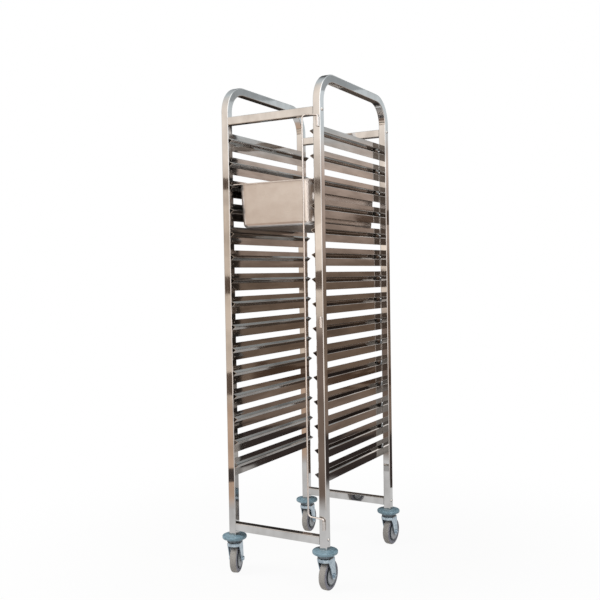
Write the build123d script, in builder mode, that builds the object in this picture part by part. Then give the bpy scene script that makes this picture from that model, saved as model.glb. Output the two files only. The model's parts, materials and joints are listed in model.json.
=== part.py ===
from build123d import *
import os
from math import atan, cos, degrees, radians, sin

os.makedirs("parts", exist_ok=True)

# Serving trolley: two bent side frames of square tube, joined by four bolted
# crossbars, carry fifteen pairs of folded runners for catering pans. It stands
# on four swivel castors. Millimetres, +Z up, +X to the right, the front faces
# -Y. The origin is on the floor in the middle of the footprint, which includes
# the castors, so the frame stands a little in front of it.

# Side frames
overall_height = 1700.0
frame_width = 384.0
frame_depth = 550.0
tube_side = 27.0
tube_wall = 1.5
tube_corner = 2.5
top_bend_radius = 100.0

# Crossbars, with the nut plates and bolts that hold them
top_crossbar_drop = 129.0
bottom_crossbar_lift = 29.0
bolt_above_middle = 3.5
nut_plate_thickness = 6.0
bolt_diameter = 6.0
bolt_head_diameter = 11.5
bolt_head_height = 3.6
bolt_dome = 3.2
bolt_length = 36.0
bolt_socket_width = 4.0
bolt_socket_depth = 2.0
bolt_clearance = 0.2
thread_clearance = 0.05

# Runners, measured up from the lower edge of each
level_count = 15
first_level_height = 180.0
top_level_drop = 101.0
runner_height = 60.0
runner_setback = 3.0
runner_sheet = 1.2
fold_start = 25.5
fold_tip = 36.5
fold_end = 42.0
fold_depth = 13.6
fold_root_bend = 2.2
fold_tip_bend = 0.8

# Pan on the third level from the top, which fills the frame's inside
pan_side_gap = 2.5
pan_end_gap = 10.0
pan_rim_width = 12.5
pan_rim_corner = 13.0
pan_rim_edge = 3.0
pan_mouth_corner = 36.0
pan_depth = 150.0
pan_side_taper = 10.5
pan_bottom_bend = 16.0
pan_mouth_bend = 2.5
pan_rim_bend = 0.8
pan_sheet = 0.9
pan_rest_gap = 0.4

# Retaining rod and the sleeves that it hangs in
rod_diameter = 6.0
rod_bar_inset = 33.0
rod_bar_ahead_of_post = 12.0
rod_top_drop = 11.0
rod_bottom_lift = 80.0
rod_arm_fall = 6.0
rod_bar_bend = 13.0
rod_pin_bend = 5.5
rod_pin_depth = 26.0
rod_running_clearance = 0.05
sleeve_diameter = 11.0
sleeve_standoff = 5.0
sleeve_from_outside = 7.5
sleeve_length = 30.0
sleeve_below_arm = 6.5
middle_sleeve_drop = 35.0
plug_pin_depth = 25.0
plug_head_diameter = 8.6
plug_head_height = 6.0
plug_head_dome = 3.8

# Castors
bumper_diameter = 85.2
bumper_thickness = 16.0
bumper_edge = 10.5
bumper_edge_bend = 4.5
bumper_top_flat = 44.0
bumper_bottom_flat = 60.0
stud_diameter = 12.0
stud_height = 23.0
stud_clearance = 0.1
insert_height = 24.0
race_diameter = 50.0
race_height = 10.4
race_wall = 2.5
race_roof = 7.0
race_top_bevel = 2.0
kingpin_diameter = 10.0
kingpin_clearance = 0.05
kingpin_head_diameter = 17.0
kingpin_head_height = 3.0
swivel_gap = 0.6
fork_width = 45.0
fork_sheet = 2.5
fork_bend = 6.0
fork_crown_diameter = 54.0
fork_crown_front = 16.0
fork_crown_back = 25.0
fork_crown_band = 7.0
fork_foot_radius = 12.0
fork_seat_diameter = 40.0
fork_lip_height = 12.0
fork_lip_start = 14.5
fork_lip_slope = 40.0
castor_trail = 20.0
wheel_top_gap = 11.5
wheel_diameter = 100.0
tyre_width = 25.0
tyre_thickness = 12.0
tyre_shoulder = 6.0
tyre_inner_edge = 1.2
rim_thickness = 4.0
rim_side_gap = 3.0
web_thickness = 6.0
hub_diameter = 24.0
hub_side_gap = 1.0
axle_diameter = 8.0
axle_clearance = 0.05
axle_leg_clearance = 0.2
guard_edge_gap = 4.75
guard_sheet = 1.4
guard_boss_diameter = 20.0
guard_tyre_gap = 0.6
guard_hub_gap = 0.4
hex_width = 13.0
axle_head_height = 3.5
axle_nut_height = 4.0
nut_collar_diameter = 11.6
nut_collar_height = 1.0
axle_end = 5.4

# How far each castor has swivelled from trailing straight back, in degrees
castor_turns = {
    "front_left": -18.0,
    "front_right": 0.0,
    "back_left": -6.0,
    "back_right": 3.0,
}

# Places worked out from the sizes above
footprint_front = bumper_diameter / 2
footprint_back = castor_trail + wheel_diameter / 2
frame_y = -(footprint_back - footprint_front) / 2
post_x = (frame_width - tube_side) / 2
inner_x = frame_width / 2 - tube_side
outer_x = frame_width / 2
front_y = frame_y - (frame_depth - tube_side) / 2
back_y = frame_y + (frame_depth - tube_side) / 2
post_front_y = frame_y - frame_depth / 2
tube_bore = tube_side - 2 * tube_wall
bore_corner = tube_corner - tube_wall
tyre_inner_diameter = wheel_diameter - 2 * tyre_thickness
rim_inner_diameter = tyre_inner_diameter - 2 * rim_thickness
rim_width = tyre_width - 2 * rim_side_gap
hub_length = tyre_width - 2 * hub_side_gap
guard_diameter = tyre_inner_diameter - 2 * guard_edge_gap
crown_top = wheel_diameter + wheel_top_gap + fork_sheet
post_foot = crown_top + swivel_gap + race_height + bumper_thickness
top_crossbar_z = overall_height - top_crossbar_drop
bottom_crossbar_z = post_foot + bottom_crossbar_lift
first_level_z = bottom_crossbar_z + first_level_height
level_pitch = (top_crossbar_z - top_level_drop - first_level_z) / (level_count - 1)
runner_length = frame_depth - 2 * runner_setback
pan_level = level_count - 3
pan_width = 2 * (inner_x - pan_side_gap)
pan_length = frame_depth - 2 * pan_end_gap
pan_mouth_width = pan_width - 2 * pan_rim_width
pan_mouth_length = pan_length - 2 * pan_rim_width
rod_bar_x = inner_x - rod_bar_inset
rod_top_z = top_crossbar_z - rod_top_drop
rod_bottom_z = bottom_crossbar_z + rod_bottom_lift
middle_sleeve_z = (rod_top_z + rod_bottom_z) / 2 - middle_sleeve_drop
crossbar_places = {
    "top_front_crossbar": (front_y, top_crossbar_z),
    "top_back_crossbar": (back_y, top_crossbar_z),
    "bottom_front_crossbar": (front_y, bottom_crossbar_z),
    "bottom_back_crossbar": (back_y, bottom_crossbar_z),
}
bolt_places = [(y, z + bolt_above_middle) for y, z in crossbar_places.values()]
frame_middle = Plane.XZ.offset(-frame_y)


def finish(piece, name):
    """Label one finished piece and write it under its node name."""
    piece.part.label = name
    export_step(piece.part, f"parts/{name}.step")


def tube_section():
    """Draw the square tube's hollow section in the sketch that calls it."""
    RectangleRounded(tube_side, tube_side, tube_corner)
    RectangleRounded(tube_bore, tube_bore, bore_corner, mode=Mode.SUBTRACT)


def make_side_frame(name, side):
    """One inverted U of square tube: two posts and the push bar over them."""
    side_plane = Plane.YZ.offset(side * post_x)
    bar_z = overall_height - tube_side / 2
    with BuildPart() as side_frame:
        with BuildLine(side_plane) as centre_line:
            FilletPolyline(
                (front_y, post_foot),
                (front_y, bar_z),
                (back_y, bar_z),
                (back_y, post_foot),
                radius=top_bend_radius - tube_side / 2,
            )
        with BuildSketch(Plane.XY.offset(post_foot)):
            with Locations((side * post_x, front_y)):
                tube_section()
        sweep(path=centre_line.line)
        with BuildSketch(side_plane):
            with Locations(*bolt_places):
                Circle(bolt_diameter / 2 + bolt_clearance)
        extrude(amount=tube_side, both=True, mode=Mode.SUBTRACT)
    finish(side_frame, name)


def make_crossbar(name, y, z):
    """One crossbar, a square tube from post to post."""
    with BuildPart() as crossbar:
        with BuildSketch(Plane.YZ):
            with Locations((y, z)):
                tube_section()
        extrude(amount=inner_x, both=True)
    finish(crossbar, name)


def make_nut_plates():
    """Tapped plates welded inside the crossbars' ends, one behind each bolt."""
    with BuildPart() as nut_plates:
        for side in (-1, 1):
            with BuildSketch(Plane.YZ.offset(side * inner_x)):
                with Locations(*crossbar_places.values()):
                    RectangleRounded(tube_bore, tube_bore, bore_corner)
                with Locations(*bolt_places):
                    Circle(bolt_diameter / 2 + thread_clearance, mode=Mode.SUBTRACT)
            extrude(amount=-side * nut_plate_thickness)
    finish(nut_plates, "crossbar_nut_plates")


def make_frame_bolts():
    """Dome-head socket bolts through the posts into the nut plates."""
    with BuildPart() as bolts:
        for side in (-1, 1):
            outer_face = Plane.YZ.offset(side * outer_x)
            with BuildSketch(outer_face):
                with Locations(*bolt_places):
                    Circle(bolt_head_diameter / 2)
            extrude(amount=side * bolt_head_height)
            rims = bolts.edges().filter_by(GeomType.CIRCLE).sort_by(Axis.X)
            fillet(rims[-4:] if side > 0 else rims[:4], radius=bolt_dome)
            with BuildSketch(outer_face):
                with Locations(*bolt_places):
                    Circle(bolt_diameter / 2)
            extrude(amount=-side * bolt_length)
            with BuildSketch(outer_face.offset(side * bolt_head_height)):
                with Locations(*bolt_places):
                    RegularPolygon(bolt_socket_width / 2, 6, major_radius=False)
            extrude(amount=-side * bolt_socket_depth, mode=Mode.SUBTRACT)
    finish(bolts, "frame_bolts")


def make_runner_pair(level):
    """The left and right runner of one level, each folded from one strip."""
    low = first_level_z + level * level_pitch
    with BuildPart() as runners:
        with BuildSketch(frame_middle):
            with BuildLine():
                FilletPolyline(
                    (inner_x, low),
                    (inner_x, low + fold_start),
                    (inner_x - fold_depth, low + fold_tip),
                    (inner_x, low + fold_end),
                    (inner_x, low + runner_height),
                    radius=(fold_root_bend, fold_tip_bend, fold_root_bend),
                )
                offset(amount=runner_sheet, side=Side.LEFT)
            make_face()
        extrude(amount=runner_length / 2, both=True)
        mirror(about=Plane.YZ)
    finish(runners, f"runner_pair_{level + 1:02d}")


def make_pan():
    """The deep gastronorm pan that hangs by its rim on the runners' folds."""
    rest_z = first_level_z + pan_level * level_pitch + fold_end + pan_rest_gap
    rim_top = rest_z + pan_rim_edge
    mouth = Plane((0, frame_y, rim_top))
    taper = degrees(atan(pan_side_taper / pan_depth))
    with BuildPart() as hollow:
        with BuildSketch(mouth):
            RectangleRounded(
                pan_mouth_width - 2 * pan_sheet,
                pan_mouth_length - 2 * pan_sheet,
                pan_mouth_corner - pan_sheet,
            )
        extrude(amount=-(pan_depth - pan_sheet), taper=taper)
        floor_edges = hollow.faces().sort_by(Axis.Z)[0].edges()
        fillet(floor_edges, radius=pan_bottom_bend - pan_sheet)
    with BuildPart() as pan:
        with BuildSketch(mouth):
            RectangleRounded(pan_mouth_width, pan_mouth_length, pan_mouth_corner)
        extrude(amount=-pan_depth, taper=taper)
        floor_edges = pan.faces().sort_by(Axis.Z)[0].edges()
        fillet(floor_edges, radius=pan_bottom_bend)
        with BuildSketch(mouth):
            RectangleRounded(pan_width, pan_length, pan_rim_corner)
        extrude(amount=-pan_sheet)
        under_rim = pan.faces().filter_by(Axis.Z).sort_by(Axis.Z)[-2]
        fillet(under_rim.inner_wires()[0].edges(), radius=pan_mouth_bend)
        with BuildSketch(mouth.offset(-pan_sheet)):
            RectangleRounded(pan_width, pan_length, pan_rim_corner)
            RectangleRounded(
                pan_width - 2 * pan_sheet,
                pan_length - 2 * pan_sheet,
                pan_rim_corner - pan_sheet,
                mode=Mode.SUBTRACT,
            )
        extrude(amount=pan_sheet - pan_rim_edge)
        fillet(pan.faces().sort_by(Axis.Z)[-1].edges(), radius=pan_rim_bend)
        add(hollow.part, mode=Mode.SUBTRACT)
        rim_face = pan.faces().sort_by(Axis.Z)[-1]
        fillet(rim_face.inner_wires()[0].edges(), radius=pan_mouth_bend + pan_sheet)
    finish(pan, "gastronorm_pan")


def sleeve_centre():
    """Where the rod's upright pivot line stands, as (x, y)."""
    return (outer_x - sleeve_from_outside, post_front_y - sleeve_standoff)


def sleeve_tops():
    """Heights of the three sleeves' upper ends, from the bottom up."""
    return (
        rod_bottom_z - rod_arm_fall - sleeve_below_arm,
        middle_sleeve_z + sleeve_length,
        rod_top_z - rod_arm_fall - sleeve_below_arm,
    )


def make_sleeves():
    """Three short tubes welded upright on the front of the right front post."""
    with BuildPart() as sleeves:
        for top in sleeve_tops():
            with BuildSketch(Plane.XY.offset(top - sleeve_length)):
                with Locations(sleeve_centre()):
                    Circle(sleeve_diameter / 2)
                    Circle(rod_diameter / 2 + rod_running_clearance, mode=Mode.SUBTRACT)
                with Locations((post_x, post_front_y + tube_side / 2)):
                    Rectangle(tube_side, tube_side, mode=Mode.SUBTRACT)
            extrude(amount=sleeve_length)
    finish(sleeves, "rod_sleeves")


def make_plug_pin():
    """Domed pin that closes the middle sleeve."""
    x, y = sleeve_centre()
    top = middle_sleeve_z + sleeve_length
    with BuildPart() as plug_pin:
        with BuildSketch(Plane((x, y, top))):
            Circle(plug_head_diameter / 2)
        extrude(amount=plug_head_height)
        fillet(plug_pin.edges().group_by(Axis.Z)[-1], radius=plug_head_dome)
        with BuildSketch(Plane((x, y, top))):
            Circle(rod_diameter / 2)
        extrude(amount=-plug_pin_depth)
    finish(plug_pin, "middle_sleeve_pin")


def make_rod():
    """Bent rod that bars the front, hanging by its two pins in the sleeves."""
    pivot_x, pivot_y = sleeve_centre()
    reach = Vector(rod_bar_x - pivot_x, -rod_bar_ahead_of_post + sleeve_standoff, 0)
    rod_plane = Plane(
        origin=(pivot_x, pivot_y, 0),
        x_dir=reach,
        z_dir=reach.cross(Vector(0, 0, 1)),
    )
    bottom_arm_z = rod_bottom_z - rod_arm_fall
    top_arm_z = rod_top_z - rod_arm_fall
    top_pin_end = top_arm_z - sleeve_below_arm - rod_pin_depth
    with BuildPart() as rod:
        with BuildLine(rod_plane) as centre_line:
            FilletPolyline(
                (0, top_pin_end),
                (0, top_arm_z),
                (reach.length, rod_top_z),
                (reach.length, rod_bottom_z),
                (0, bottom_arm_z),
                (0, bottom_arm_z - sleeve_below_arm - rod_pin_depth),
                radius=(rod_pin_bend, rod_bar_bend, rod_bar_bend, rod_pin_bend),
            )
        with BuildSketch(Plane((pivot_x, pivot_y, top_pin_end))):
            Circle(rod_diameter / 2)
        sweep(path=centre_line.line)
    finish(rod, "retaining_rod")


def castor_places():
    """Each castor's name, post centre and swivel turn."""
    for corner, turn in castor_turns.items():
        x = post_x if corner.endswith("right") else -post_x
        y = front_y if corner.startswith("front") else back_y
        yield corner, x, y, radians(turn)


def make_inserts():
    """Plugs pressed into the posts' feet, tapped for the castors' studs."""
    with BuildPart() as inserts:
        with BuildSketch(Plane.XY.offset(post_foot)):
            for _, x, y, _ in castor_places():
                with Locations((x, y)):
                    RectangleRounded(tube_bore, tube_bore, bore_corner)
                    Circle(stud_diameter / 2 + thread_clearance, mode=Mode.SUBTRACT)
        extrude(amount=insert_height)
    finish(inserts, "castor_inserts")


def make_bumper(corner, upright, swivel_axis):
    """Round rubber bumper between the post's foot and the swivel head."""
    low = post_foot - bumper_thickness
    edge_low = low + (bumper_thickness - bumper_edge) / 2
    with BuildPart() as bumper:
        with BuildSketch(upright):
            with BuildLine():
                Polyline(
                    (stud_diameter / 2 + stud_clearance, low),
                    (bumper_bottom_flat / 2, low),
                    (bumper_diameter / 2, edge_low),
                    (bumper_diameter / 2, edge_low + bumper_edge),
                    (bumper_top_flat / 2, post_foot),
                    (stud_diameter / 2 + stud_clearance, post_foot),
                    close=True,
                )
            face = make_face()
            fillet(face.vertices().group_by(Axis.X)[-1], radius=bumper_edge_bend)
        revolve(axis=swivel_axis)
    finish(bumper, f"{corner}_bumper")


def make_swivel_head(corner, upright, swivel_axis):
    """Upper race, threaded stud and riveted kingpin of one castor."""
    top = post_foot - bumper_thickness
    low = top - race_height
    crown_low = low - swivel_gap - fork_sheet
    rivet_top = crown_low - swivel_gap
    race = race_diameter / 2
    with BuildPart() as head:
        with BuildSketch(upright):
            with BuildLine():
                Polyline(
                    (0, post_foot + stud_height),
                    (stud_diameter / 2, post_foot + stud_height),
                    (stud_diameter / 2, top),
                    (race - race_top_bevel, top),
                    (race, top - race_top_bevel),
                    (race, low),
                    (race - race_wall, low),
                    (race - race_wall, top - race_roof),
                    (kingpin_diameter / 2, top - race_roof),
                    (kingpin_diameter / 2, rivet_top),
                    (kingpin_head_diameter / 2, rivet_top),
                    (kingpin_head_diameter / 2, rivet_top - kingpin_head_height / 2),
                    (kingpin_diameter / 2, rivet_top - kingpin_head_height),
                    (0, rivet_top - kingpin_head_height),
                    close=True,
                )
            make_face()
        revolve(axis=swivel_axis)
    finish(head, f"{corner}_swivel_head")


def make_fork(corner, turned, across, along):
    """Pressed fork: a round crown with its front turned down, its raised bearing seat and two legs."""
    seat_top = crown_top + race_height - race_roof
    axle_z = wheel_diameter / 2
    foot_z = axle_z - fork_foot_radius
    half = fork_width / 2
    with BuildPart() as fork:
        with BuildSketch(across):
            with BuildLine():
                FilletPolyline(
                    (-half, foot_z),
                    (-half, crown_top),
                    (half, crown_top),
                    (half, foot_z),
                    radius=fork_bend,
                )
                offset(amount=fork_sheet, side=Side.RIGHT)
            make_face()
        extrude(amount=wheel_diameter, both=True)
        with BuildSketch(along):
            with Locations((castor_trail, axle_z)):
                Circle(fork_foot_radius)
            with Locations(
                ((fork_crown_back - fork_crown_front) / 2, crown_top - fork_crown_band / 2)
            ):
                Rectangle(fork_crown_front + fork_crown_back, fork_crown_band)
            make_hull()
        extrude(amount=fork_width, both=True, mode=Mode.INTERSECT)
        with BuildSketch(turned):
            Circle(fork_crown_diameter / 2)
            with Locations((half, castor_trail), (-half, castor_trail)):
                Rectangle(2 * fork_bend, wheel_diameter)
        extrude(amount=crown_top, mode=Mode.INTERSECT)
        crown = fork_crown_diameter / 2
        with BuildSketch(turned.offset(crown_top - fork_lip_height)):
            Circle(crown)
            Circle(crown - fork_sheet, mode=Mode.SUBTRACT)
            with Locations((0, crown - fork_lip_start)):
                Rectangle(2 * crown, 2 * crown, mode=Mode.SUBTRACT)
        extrude(amount=fork_lip_height - fork_sheet)
        with BuildSketch(turned.offset(crown_top - fork_sheet)):
            Circle(crown)
            with Locations((0, crown - fork_lip_start)):
                Rectangle(2 * crown, 2 * crown, mode=Mode.SUBTRACT)
        extrude(amount=fork_sheet, taper=fork_lip_slope)
        with BuildSketch(turned.offset(crown_top)):
            Circle(fork_seat_diameter / 2)
        extrude(amount=seat_top - crown_top)
        with BuildSketch(turned):
            Circle(kingpin_diameter / 2 + kingpin_clearance)
        extrude(amount=post_foot, mode=Mode.SUBTRACT)
        with BuildSketch(along):
            with Locations((castor_trail, axle_z)):
                Circle(axle_diameter / 2 + axle_leg_clearance)
        extrude(amount=fork_width, both=True, mode=Mode.SUBTRACT)
    finish(fork, f"{corner}_fork")


def ring_section(inner, outer, width):
    """Draw half of a ring's section, across the axle along the sketch's x."""
    with Locations((0, (inner + outer) / 2)):
        return Rectangle(width, outer - inner)


def make_wheel(corner, section, axle):
    """Moulded wheel centre: hub, web and rim, bored to run on the axle."""
    bore = axle_diameter / 2 + axle_clearance
    with BuildPart() as wheel:
        with BuildSketch(section):
            ring_section(bore, hub_diameter / 2, hub_length)
            ring_section(hub_diameter / 2, rim_inner_diameter / 2, web_thickness)
            ring_section(rim_inner_diameter / 2, tyre_inner_diameter / 2, rim_width)
        revolve(axis=axle)
    finish(wheel, f"{corner}_wheel")


def make_tyre(corner, section, axle):
    """Soft grey tyre with rounded shoulders round the wheel's rim."""
    with BuildPart() as tyre:
        with BuildSketch(section):
            ring = ring_section(tyre_inner_diameter / 2, wheel_diameter / 2, tyre_width)
            inner_corners, outer_corners = ring.vertices().group_by(Axis.Y)
            fillet(outer_corners, radius=tyre_shoulder)
            fillet(inner_corners, radius=tyre_inner_edge)
        revolve(axis=axle)
    finish(tyre, f"{corner}_tyre")


def make_thread_guards(corner, section, axle, middle):
    """A dished cover on each side of the wheel, held by the axle."""
    inner_face = fork_width / 2 - fork_sheet
    disc_start = tyre_width / 2 + guard_tyre_gap
    boss_start = hub_length / 2 + guard_hub_gap
    bore = axle_diameter / 2 + axle_clearance
    boss = guard_boss_diameter / 2
    with BuildPart() as guards:
        with BuildSketch(section):
            with BuildLine():
                Polyline(
                    (boss_start, bore),
                    (boss_start, boss),
                    (disc_start, boss),
                    (disc_start, guard_diameter / 2),
                    (disc_start + guard_sheet, guard_diameter / 2),
                    (disc_start + guard_sheet, boss),
                    (inner_face, boss),
                    (inner_face, bore),
                    close=True,
                )
            make_face()
        revolve(axis=axle)
        mirror(about=middle)
    finish(guards, f"{corner}_thread_guards")


def make_axle(corner, middle):
    """Hexagon bolt through both legs, and the lock nut on its right end."""
    half = fork_width / 2
    with BuildPart() as axle_bolt:
        with BuildSketch(middle.offset(-half - axle_head_height)):
            RegularPolygon(hex_width / 2, 6, major_radius=False)
        extrude(amount=axle_head_height)
        with BuildSketch(middle.offset(-half)):
            Circle(axle_diameter / 2)
        extrude(amount=fork_width + axle_end)
    finish(axle_bolt, f"{corner}_axle_bolt")
    with BuildPart() as axle_nut:
        with BuildSketch(middle.offset(half)):
            RegularPolygon(hex_width / 2, 6, major_radius=False)
        extrude(amount=axle_nut_height)
        with BuildSketch(middle.offset(half + axle_nut_height)):
            Circle(nut_collar_diameter / 2)
        extrude(amount=nut_collar_height)
        with BuildSketch(middle.offset(half)):
            Circle(axle_diameter / 2 + thread_clearance)
        extrude(amount=axle_nut_height + nut_collar_height, mode=Mode.SUBTRACT)
    finish(axle_nut, f"{corner}_axle_nut")


def make_castor(corner, x, y, turn):
    """All pieces of one castor, trailing at its own swivel turn."""
    sideways = Vector(cos(turn), -sin(turn), 0)
    trailing = Vector(sin(turn), cos(turn), 0)
    post = Vector(x, y, 0)
    axle_centre = post + trailing * castor_trail + Vector(0, 0, wheel_diameter / 2)
    swivel_axis = Axis(post, (0, 0, 1))
    axle = Axis(axle_centre, sideways)
    upright = Plane(post, x_dir=(1, 0, 0), z_dir=(0, -1, 0))
    turned = Plane(post, x_dir=sideways, z_dir=(0, 0, 1))
    across = Plane(post, x_dir=sideways, z_dir=-trailing)
    along = Plane(post, x_dir=trailing, z_dir=sideways)
    section = Plane(axle_centre, x_dir=sideways, z_dir=-trailing)
    middle = Plane(axle_centre, x_dir=trailing, z_dir=sideways)
    make_bumper(corner, upright, swivel_axis)
    make_swivel_head(corner, upright, swivel_axis)
    make_fork(corner, turned, across, along)
    make_wheel(corner, section, axle)
    make_tyre(corner, section, axle)
    make_thread_guards(corner, section, axle, middle)
    make_axle(corner, middle)


make_side_frame("left_frame", -1)
make_side_frame("right_frame", 1)
for crossbar_name, (bar_y, bar_z) in crossbar_places.items():
    make_crossbar(crossbar_name, bar_y, bar_z)
make_nut_plates()
make_frame_bolts()
for runner_level in range(level_count):
    make_runner_pair(runner_level)
make_pan()
make_sleeves()
make_plug_pin()
make_rod()
make_inserts()
for castor in castor_places():
    make_castor(*castor)
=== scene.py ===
import json
from math import atan2, cos, pi, radians, sin

import bpy
import numpy as np
from bpy.props import FloatProperty, FloatVectorProperty, PointerProperty
from mathutils import Matrix, Vector


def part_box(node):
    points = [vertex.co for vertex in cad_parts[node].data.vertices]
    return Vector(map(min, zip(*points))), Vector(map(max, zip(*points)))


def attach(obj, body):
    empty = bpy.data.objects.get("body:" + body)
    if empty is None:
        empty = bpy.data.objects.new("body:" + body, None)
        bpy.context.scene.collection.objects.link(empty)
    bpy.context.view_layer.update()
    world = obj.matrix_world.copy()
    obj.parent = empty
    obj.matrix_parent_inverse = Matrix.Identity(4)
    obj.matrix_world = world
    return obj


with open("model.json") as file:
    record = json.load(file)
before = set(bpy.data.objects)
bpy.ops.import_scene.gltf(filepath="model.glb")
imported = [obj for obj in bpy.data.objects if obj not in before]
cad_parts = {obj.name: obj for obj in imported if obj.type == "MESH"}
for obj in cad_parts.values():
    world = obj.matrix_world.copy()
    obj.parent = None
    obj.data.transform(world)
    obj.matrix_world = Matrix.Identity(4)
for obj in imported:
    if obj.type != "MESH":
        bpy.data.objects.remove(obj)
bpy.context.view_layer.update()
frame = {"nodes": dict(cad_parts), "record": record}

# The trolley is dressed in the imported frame's own metres. Sizes named with MM are real
# millimetres, and every added fitting takes its place from a CAD node's box or a joint.

bl_info = {
    "name": "Catering Rack Trolley",
    "version": (1, 0, 0),
    "blender": (4, 5, 0),
    "location": "3D View > Sidebar > Trolley",
    "description": "Gives the rack trolley its finishes, small fittings and stage",
    "category": "Object",
}

MM = 0.001
CORNERS = ("front_left", "front_right", "back_left", "back_right")
NODES = frame["nodes"]
JOINTS = {joint["name"]: joint for joint in frame["record"]["behaviour"]["joints"]}
SIDE_FRAMES = ("left_frame", "right_frame")
CROSSBARS = tuple(name for name in NODES if name.endswith("crossbar"))
RUNNERS = tuple(sorted(name for name in NODES if name.startswith("runner_pair")))

# Sizes of the CAD pieces that the fittings sit on; GUARD_FACE and NUT_END are distances along an
# axle from the middle of its wheel
TUBE_SIDE = 27 * MM
STRIP_SHEET = 1.2 * MM
SLEEVE_LENGTH = 30 * MM
SLEEVE_RADIUS = 5.5 * MM
PLUG_PIN_DEPTH = 25 * MM
GUARD_FACE = 14.5 * MM
NUT_END = 27.5 * MM
RACE_RADIUS = 25 * MM
WHEEL_RADIUS = 50 * MM
# Heights between which the side frames' tube bends over from upright to level, in metres
BEND_HEIGHTS = (1.63, 1.67)

# How metallic a finish is, and the two values that nearly all of a soft noise lies between
METAL, PLASTIC = 1.0, 0.0
NOISE_LOW, NOISE_HIGH = 0.3, 0.7


def linear(hex_colour):
    """sRGB hex to a linear RGBA colour, by the sRGB curve."""
    parts = [int(hex_colour[i:i + 2], 16) / 255 for i in (1, 3, 5)]
    return tuple(c / 12.92 if c < 0.04045 else ((c + 0.055) / 1.055) ** 2.4 for c in parts) + (1.0,)


def add_node(tree, kind, inputs=None, stops=None, **settings):
    """Add one node, set its properties, its ramp's colours and its inputs, and link the sockets.

    Inputs go by name, or by number where names repeat: a Map Range's 1 and 2 are the range that
    its value comes from and 3 and 4 the one that it goes to, a number Mix blends 2 and 3, and a
    colour Mix blends 6 and 7 into output 2.
    """
    made = tree.nodes.new(kind)
    for name, value in settings.items():
        setattr(made, name, value)
    if stops:
        first, *middle, last = stops
        ends = made.color_ramp.elements
        ends[0].position, ends[0].color = first
        ends[1].position, ends[1].color = last
        for position, colour in middle:
            ends.new(position).color = colour
    for name, value in (inputs or {}).items():
        if isinstance(value, bpy.types.NodeSocket):
            tree.links.new(value, made.inputs[name])
        else:
            made.inputs[name].default_value = value
    return made


def empty_material(name):
    """A material with an output alone: the material, its tree, the output and Object places."""
    material = bpy.data.materials.new(name)
    material.use_nodes = True
    tree = material.node_tree
    tree.nodes.clear()
    output = add_node(tree, "ShaderNodeOutputMaterial")
    place = add_node(tree, "ShaderNodeTexCoord").outputs["Object"]
    return material, tree, output, place


def start_material(name, metallic, roughness):
    """A material with one Principled shader: the material, its tree, the shader, Object places."""
    material, tree, output, place = empty_material(name)
    shader = add_node(
        tree, "ShaderNodeBsdfPrincipled", {"Metallic": metallic, "Roughness": roughness}
    )
    tree.links.new(shader.outputs["BSDF"], output.inputs["Surface"])
    return material, tree, shader, place


def cloud(tree, place, size, detail=2.0, rough=0.5):
    """Soft noise whose cells have a size in millimetres along X, Y and Z."""
    scale = Vector([1 / (side * MM) for side in size])
    spread = add_node(tree, "ShaderNodeVectorMath", {0: place, 1: scale}, operation="MULTIPLY")
    noise = add_node(
        tree, "ShaderNodeTexNoise",
        {"Vector": spread.outputs[0], "Scale": 1.0, "Detail": detail, "Roughness": rough},
    )
    return noise.outputs["Fac"]


def laid_over(tree, seen, layers):
    """Lay colours over one another in turn, each covering what is under it by its share."""
    for share, colour in layers:
        seen = add_node(
            tree, "ShaderNodeMix", {0: share, 6: seen, 7: colour}, data_type="RGBA"
        ).outputs[2]
    return seen


def colour_between(tree, shader, factor, first, second, low=0.35, high=0.65):
    """Colour a shader from the first to the second colour as a pattern goes from low to high."""
    share = add_node(tree, "ShaderNodeMapRange", {0: factor, 1: low, 2: high}).outputs[0]
    tint = laid_over(tree, first, [(share, second)])
    tree.links.new(tint, shader.inputs["Base Color"])
    return tint


def toned(tree, colour, pattern, dark, bright):
    """A colour whose brightness follows a pattern from dark to bright."""
    value = add_node(
        tree, "ShaderNodeMapRange", {0: pattern, 1: NOISE_LOW, 2: NOISE_HIGH, 3: dark, 4: bright}
    ).outputs[0]
    return add_node(
        tree, "ShaderNodeHueSaturation", {"Color": colour, "Value": value}
    ).outputs[0]


def roughness_between(tree, shader, pattern, low, high):
    """Let a pattern carry the roughness between two values."""
    rough = add_node(
        tree, "ShaderNodeMapRange", {0: pattern, 1: NOISE_LOW, 2: NOISE_HIGH, 3: low, 4: high}
    )
    tree.links.new(rough.outputs[0], shader.inputs["Roughness"])


def relief(tree, shader, layers):
    """Stack bumps, each a pattern with its depth in millimetres, onto a shader."""
    normal = None
    for pattern, depth in layers:
        inputs = {"Height": pattern, "Distance": depth * MM, "Strength": 1.0}
        if normal:
            inputs["Normal"] = normal
        normal = add_node(tree, "ShaderNodeBump", inputs).outputs["Normal"]
    tree.links.new(normal, shader.inputs["Normal"])


def axle(corner):
    """The middle of a wheel and the direction of its axle."""
    joint = JOINTS[f"{corner}_roll"]
    return Vector(joint["pos_m"]), Vector(joint["axis"]).normalized()


def dress(names, material):
    """Give CAD nodes one material."""
    for name in names:
        data = NODES[name].data
        data.materials.clear()
        data.materials.append(material)
        data.shade_smooth()


def quad_faces(rows, columns, rows_closed):
    """Faces of a grid of points whose columns close into rings, and whose rows may too."""
    row = np.arange(rows if rows_closed else rows - 1)[:, None]
    column = np.arange(columns)[None, :]
    next_row = (row + 1) % rows
    next_column = (column + 1) % columns
    corners = (
        row * columns + column, row * columns + next_column,
        next_row * columns + next_column, next_row * columns + column,
    )
    return np.stack(np.broadcast_arrays(*corners), axis=-1).reshape(-1, 4)


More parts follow.
